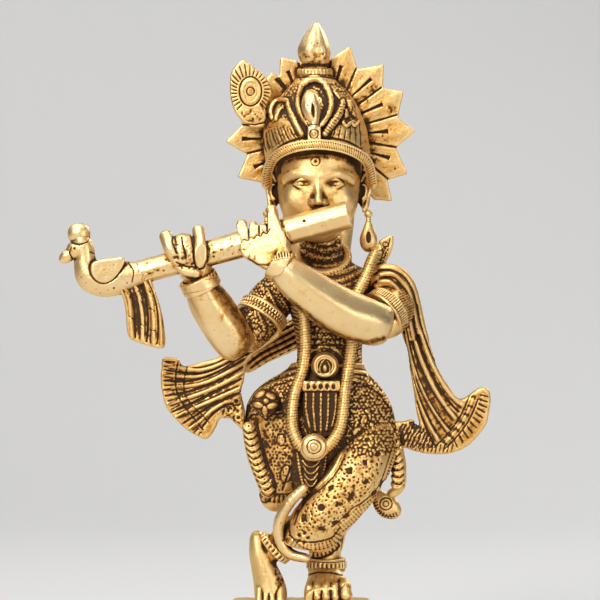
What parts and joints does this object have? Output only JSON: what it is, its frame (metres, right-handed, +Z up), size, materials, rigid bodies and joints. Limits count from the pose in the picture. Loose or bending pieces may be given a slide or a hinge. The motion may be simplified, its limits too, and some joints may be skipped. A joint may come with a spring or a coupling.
{
  "type": "deity statuette",
  "caption": "Standing flute-playing deity statuette in antiqued cast brass, legs crossed, with sun-ray crown, garland, flying shawl and stepped plinth; rests on a shelf.",
  "frame": {"origin": "centre of the plinth's flat underside", "axes": "+Z up; the figure faces -Y; its own left arm and the long shawl fall are towards +X, the peacock on the flute towards -X"},
  "size_m": [0.1286, 0.0512, 0.1983],
  "materials": {
    "antique_brass": "cast, chased and antiqued: dark recesses, rubbed highs",
    "polished_brass": "filed and buffed",
    "zinc_steel": "zinc plated"
  },
  "bodies": {
    "root": {"anklet_crossed": "antique_brass", "anklet_standing": "antique_brass", "armlet_left": "antique_brass", "armlet_right": "antique_brass", "bangle_left": "polished_brass", "bangle_right": "polished_brass", "belt_buckle": "antique_brass", "crossed_foot": "antique_brass", "crossed_leg": "antique_brass", "crown_band": "antique_brass", "crown_body": "antique_brass", "crown_finial": "polished_brass", "crown_jewel": "antique_brass", "earring_left": "antique_brass", "earring_right": "antique_brass", "flute": "polished_brass", "forearm_left": "polished_brass", "forearm_right": "polished_brass", "front_pleats": "antique_brass", "garland": "antique_brass", "garland_pendant": "antique_brass", "hair_back": "antique_brass", "halo": "antique_brass", "hand_left": "polished_brass", "hand_right": "polished_brass", "head": "antique_brass", "hip_cloth": "antique_brass", "necklace_collar": "antique_brass", "peacock": "polished_brass", "peacock_feather": "antique_brass", "peacock_tail": "polished_brass", "plinth": "antique_brass", "plinth_screw_crossed": "zinc_steel", "plinth_screw_standing": "zinc_steel", "sash_end_left": "antique_brass", "sash_knot": "antique_brass", "shawl_back": "antique_brass", "shawl_flare": "antique_brass", "shawl_left": "antique_brass", "shawl_right": "antique_brass", "side_tassel_left": "antique_brass", "side_tassel_right": "antique_brass", "standing_leg": "antique_brass", "torso": "antique_brass", "trouser_cuff": "antique_brass", "upper_arm_left": "antique_brass", "upper_arm_right": "antique_brass", "waist_lappet": "antique_brass"}
  },
  "joints": []
}
